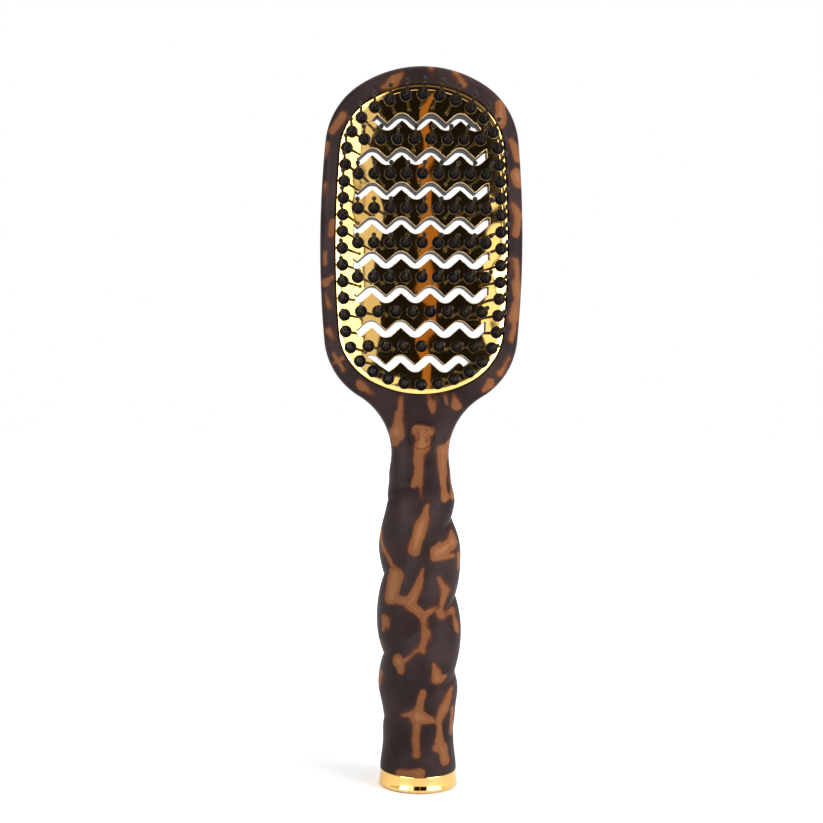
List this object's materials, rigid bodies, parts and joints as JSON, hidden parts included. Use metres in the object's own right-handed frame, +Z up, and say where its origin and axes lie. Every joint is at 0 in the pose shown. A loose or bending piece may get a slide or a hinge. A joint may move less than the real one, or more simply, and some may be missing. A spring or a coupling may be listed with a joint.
{
  "type": "vanity hairbrush",
  "caption": "Vented paddle hairbrush with a twisted tortoise-pattern handle, a gold-tone vented face, ball-tipped nylon pins and a flared round foot to stand on.",
  "frame": {"origin": "centre of the round foot, on the surface that the brush stands on", "axes": "+Z up along the handle towards the crown of the head, -Y out of the face along the pins, +X to the right when looking at the pins"},
  "size_m": [0.0666, 0.0401, 0.2353],
  "materials": {
    "tortoise": "matte tortoise pattern",
    "gold": "polished",
    "pin_nylon": "gloss",
    "steel": "plain",
    "foot_rubber": "matte"
  },
  "bodies": {
    "root": {"front_shell": "tortoise", "rear_shell": "tortoise", "vent_plate": "gold", "pin_row_1": "pin_nylon", "pin_row_2": "pin_nylon", "pin_row_3": "pin_nylon", "pin_row_4": "pin_nylon", "pin_row_5": "pin_nylon", "pin_row_6": "pin_nylon", "pin_row_7": "pin_nylon", "pin_ring_crown": "pin_nylon", "pin_ring_right": "pin_nylon", "pin_ring_chin": "pin_nylon", "pin_ring_left": "pin_nylon", "end_cap": "gold", "cap_screw": "steel", "ballast_bar": "steel", "foot_pad": "foot_rubber"}
  },
  "joints": []
}
